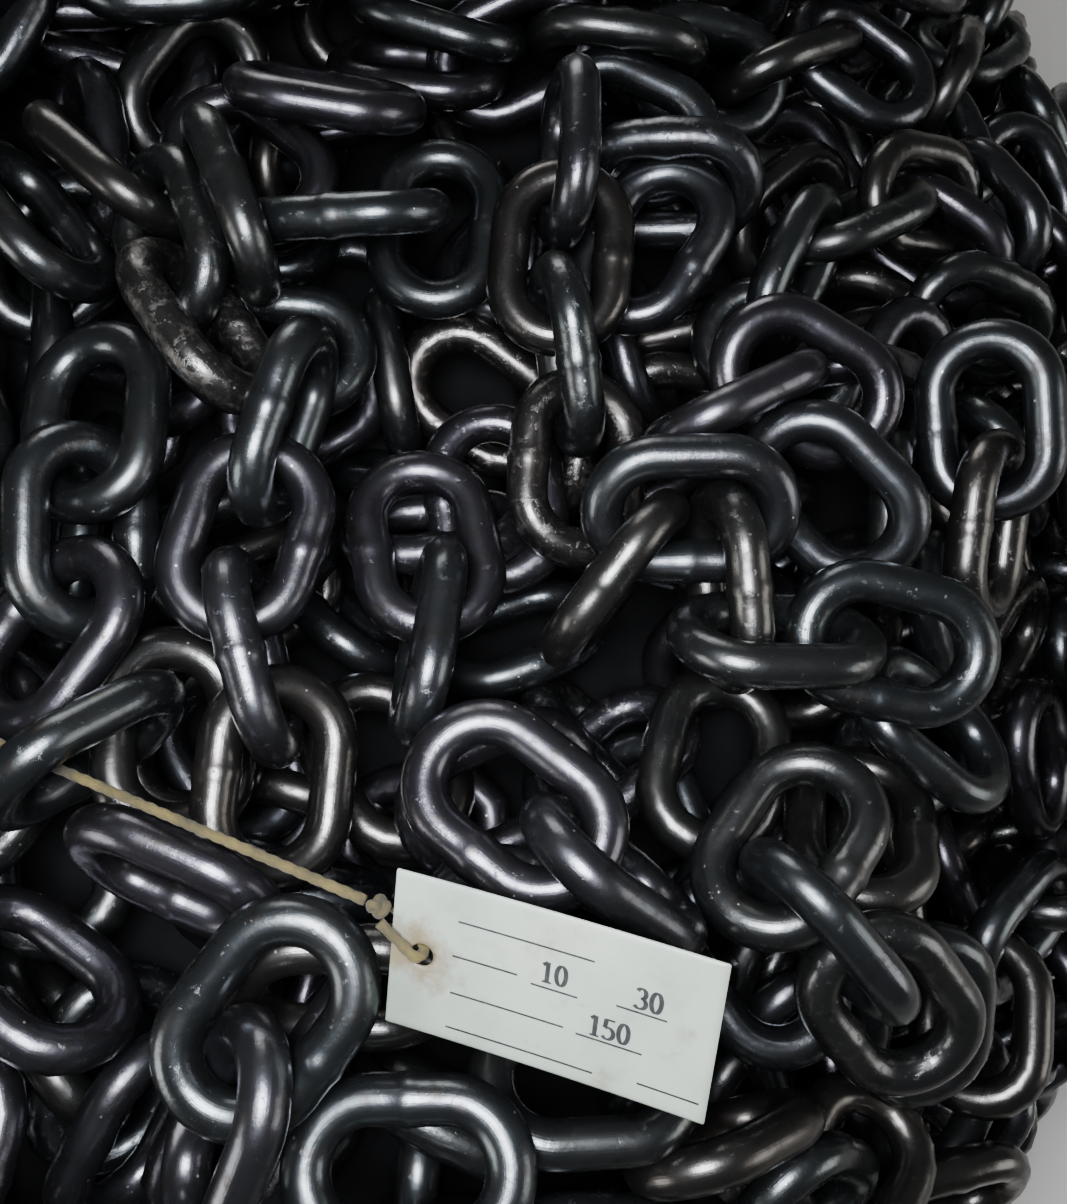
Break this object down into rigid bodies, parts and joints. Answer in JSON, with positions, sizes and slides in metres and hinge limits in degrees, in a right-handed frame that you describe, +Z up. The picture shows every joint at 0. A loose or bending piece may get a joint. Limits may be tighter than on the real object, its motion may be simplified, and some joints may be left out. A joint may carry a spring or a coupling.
{
  "type": "heap of steel chain",
  "caption": "Heap of loose welded short link chain in oiled black steel, with a plain tag tied to it by a cord.",
  "frame": {"origin": "middle of the heap's base, on the floor", "axes": "+Z up, +Y away from the picture's viewpoint, +X to its right; the tag lies at +X -Y"},
  "size_m": [0.84, 0.84, 0.3188],
  "materials": {
    "chain_steel": "hot formed, blackened and oiled, glossy streaks over a near black surface",
    "tag_card": "thin off-white card with faint rust and oil stains",
    "tag_twine": "round twisted cord, khaki"
  },
  "bodies": {
    "root": {"brace_link_1": "chain_steel", "collar_link_1": "chain_steel", "cord_end_link_1": "chain_steel", "cord_hitch": "tag_twine", "cord_knot": "tag_twine", "core_heap": "chain_steel", "cradle_link_1": "chain_steel", "diagonal_link_1": "chain_steel", "diagonal_link_2": "chain_steel", "diagonal_link_3": "chain_steel", "drop_link_1": "chain_steel", "east_link_1": "chain_steel", "east_link_2": "chain_steel", "east_ring_link_1": "chain_steel", "elbow_link_1": "chain_steel", "far_arc_link_1": "chain_steel", "far_bar_link_1": "chain_steel", "far_bow_link_1": "chain_steel", "far_crook_link_1": "chain_steel", "far_hoop_link_1": "chain_steel", "far_left_link_1": "chain_steel", "far_middle_link_1": "chain_steel", "far_middle_link_2": "chain_steel", "far_middle_link_3": "chain_steel", "far_middle_link_4": "chain_steel", "left_link_1": "chain_steel", "left_link_2": "chain_steel", "left_link_3": "chain_steel", "left_link_4": "chain_steel", "mid_bow_link_1": "chain_steel", "mid_left_link_1": "chain_steel", "middle_link_1": "chain_steel", "middle_link_2": "chain_steel", "near_arch_link_1": "chain_steel", "near_bar_link_1": "chain_steel", "near_left_link_1": "chain_steel", "near_left_link_2": "chain_steel", "rail_link_1": "chain_steel", "right_bow_link_1": "chain_steel", "right_post_link_1": "chain_steel", "right_ring_link_1": "chain_steel", "right_run_link_1": "chain_steel", "right_run_link_2": "chain_steel", "right_tall_link_1": "chain_steel", "shelf_link_1": "chain_steel", "shelf_ring_link_1": "chain_steel", "sill_link_1": "chain_steel", "slash_link_1": "chain_steel", "strut_link_1": "chain_steel", "tag_cord": "tag_twine", "tag_foot_link_1": "chain_steel", "tag_loop": "tag_twine", "tag_plate": "tag_card", "tag_rest_link_1": "chain_steel", "tag_side_link_1": "chain_steel", "under_cord_link_1": "chain_steel", "upper_left_link_1": "chain_steel", "west_link_1": "chain_steel", "west_link_2": "chain_steel", "west_link_3": "chain_steel"}
  },
  "joints": []
}
